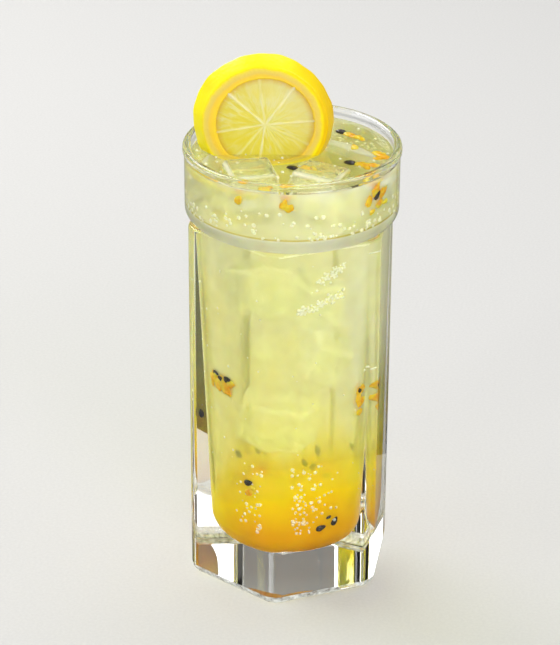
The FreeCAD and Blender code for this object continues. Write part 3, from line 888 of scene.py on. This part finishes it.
def make_bubbles():
    """Gas bubbles: a ring at the shoulder, a cloud over the pulp, rows along the ice.

    Bearings are in degrees, radii and heights in millimetres. The glass bends what lies
    behind its corners into dashes, so the bubbles there are left out, after their numbers
    are drawn.
    """
    bubble = small_ball("gas_bubbles", Vector((1, 1, 1)), 2)
    draw = random.Random(11)
    places = []

    def put(spot, radius):
        bearing = math.degrees(math.atan2(spot.y, spot.x))
        from_flat = abs((bearing + 30) % 60 - 30)      # 0 behind a side, 30 behind a corner
        if from_flat <= 24 or spot.z >= SHOULDER_LOW:
            places.append(Matrix.Translation(spot) @ Matrix.Scale(radius * MM, 4))

    for _ in range(280):                                # the ring
        height = 144.8 + abs(draw.gauss(0, 4.0))
        put(on_wall(draw.uniform(-180, 180), height, 0.15), draw.uniform(0.35, 0.9))
    for _ in range(170):                                # the cloud
        put(on_wall(draw.gauss(0, 20), draw.uniform(24, 52), 0.1), draw.uniform(0.3, 0.8))
    for _ in range(130):                                # strays all over the wall
        put(on_wall(draw.uniform(-180, 180), draw.uniform(22, 138), 0.1),
            draw.uniform(0.2, 0.6))
    for start, height, count in ((2, 115, 80), (16, 125.5, 55)):      # the two rows
        for _ in range(count):
            along = draw.random()
            rise = 5 * along + draw.gauss(0, 1.1)
            put(on_wall(start + (39 - start) * along, height + rise, 0.1),
                draw.uniform(0.3, 0.75))
    for _ in range(70):                                 # foam on the surface
        put(on_surface(draw.uniform(-180, 180), 34.5 * math.sqrt(draw.random()), 0.1),
            draw.uniform(0.25, 0.7))
    dress(scatter("gas_bubbles", bubble, places), gas_bubble(), "ade")


# ---------------------------------------------------------------- studio

def make_floor():
    """Pale matt studio paper, darker where it is mirrored, so the drink keeps its colour."""
    deselect()
    bpy.ops.mesh.primitive_plane_add(size=8)
    floor = bpy.context.object
    floor.name = "studio_floor"
    floor.location.z = -0.15 * MM      # the foot's face isn't quite flat: air lies under it
    material, tree, place = blank("studio_paper")
    grain = noise(tree, place, 900.0, 2.0)                                  # 1.1 mm
    pale = ramp(tree, grain, (0.3, "#cac8c5"), (0.7, "#cfcdca"))
    path = add(tree, "LightPath").outputs
    mirrored = maths(tree, "SUBTRACT", path["Is Glossy Ray"], path["Is Transmission Ray"],
                     use_clamp=True)
    paper = shader(tree, "Principled", Base_Color=blend(tree, mirrored, pale, "#7c7974"),
                   Roughness=0.9)
    floor.data.materials.append(finished(material, paper))


def make_room():
    """A soft pale room, with walls that are darker in and through the glass."""
    world = bpy.data.worlds.new("studio_air")
    bpy.context.scene.world = world
    world.use_nodes = True
    tree = world.node_tree
    tree.nodes.clear()
    height = axes(tree, add(tree, "TexCoord").outputs["Generated"])["Z"]
    sky = ramp(tree, height, (0.0, "#e6e5e2"), (0.25, "#dfe0e0"), (1.0, "#b4b8bc"))
    walls = ramp(tree, height, (0.0, "#8b8880"), (0.2, "#6b6153"), (0.5, "#706a60"),
                 (0.62, "#c9cccd"), (1.0, "#e6e8e8"))
    path = add(tree, "LightPath").outputs
    in_glass = maths(tree, "MAXIMUM", path["Is Glossy Ray"], path["Is Transmission Ray"])
    light = add(tree, "Background", {"Color": blend(tree, in_glass, sky, walls),
                                     "Strength": 0.95}).outputs[0]
    add(tree, "OutputWorld", {"Surface": light})


def make_lamps():
    """Four soft lamps: back left, front right, left and above."""
    for name, spot, size, power in (("key_window", (-0.75, 0.55, 0.95), 0.7, 9.0),
                                    ("front_fill", (0.7, -1.1, 0.7), 1.0, 12.2),
                                    ("left_fill", (-1.05, -0.4, 0.45), 0.7, 2.3),
                                    ("top_panel", (0.15, 0.55, 1.15), 0.6, 3.0)):
        lamp = bpy.data.lights.new(name, "AREA")
        lamp.energy, lamp.size = power, size
        holder = bpy.data.objects.new(name, lamp)
        bpy.context.scene.collection.objects.link(holder)
        holder.location = spot
        aim = Vector((0, 0, 0.09)) - holder.location
        holder.rotation_euler = aim.to_track_quat("-Z", "Y").to_euler()


def make_dark_strip():
    """A dark felt strip lying behind the glass, seen only in it, which draws its walls."""
    deselect()
    bpy.ops.mesh.primitive_plane_add(size=1)
    strip = bpy.context.object
    strip.name = "dark_strip"
    bearing, away = math.radians(64), 0.54
    strip.scale = (0.9, 0.07, 1)
    strip.rotation_euler.z = bearing
    strip.location = (away * math.cos(bearing), away * math.sin(bearing), 0)
    material, tree, place = blank("dark_strip_felt")
    aside = maths(tree, "ABSOLUTE", axes(tree, place)["Y"])
    felt = layer(tree, mapped(tree, aside, 0.2, 0.5), shader(tree, "Diffuse", Color="#202326"),
                 shader(tree, "Transparent"))
    strip.data.materials.append(finished(material, felt))
    strip.visible_camera = strip.visible_diffuse = strip.visible_shadow = False


def make_camera():
    """A long lens, looking down at the front corner from a little to its right."""
    rise, roll = math.radians(27.5), math.radians(0.31)
    away = 934.6 * MM
    middle = Vector((0, 0, GLASS_TOP / 2))
    left_of_middle, above_middle = 3.94 * MM, 13.2 * MM
    back = Vector((math.sin(VIEW_TURN) * math.cos(rise), -math.cos(VIEW_TURN) * math.cos(rise),
                   math.sin(rise)))
    right = Vector((math.cos(VIEW_TURN), math.sin(VIEW_TURN), 0))
    lens = bpy.data.cameras.new("camera")
    lens.lens = 145.1
    lens.clip_start = 0.05
    camera = bpy.data.objects.new("camera", lens)
    bpy.context.scene.collection.objects.link(camera)
    camera.location = middle + back * away
    target = middle - right * left_of_middle + Vector((0, 0, above_middle))
    look = (target - camera.location).to_track_quat("-Z", "Y").to_matrix().to_4x4()
    camera.matrix_world = Matrix.Translation(camera.location) @ look \
        @ Matrix.Rotation(roll, 4, "Z")
    bpy.context.scene.camera = camera


make_glass()
make_drink()
make_settled_pulp()
make_ice()
make_peel()
make_flesh()
make_seeds()
make_sacs()
make_bubbles()
make_floor()
make_room()
make_lamps()
make_dark_strip()
make_camera()
bpy.context.scene.view_settings.view_transform = "Standard"
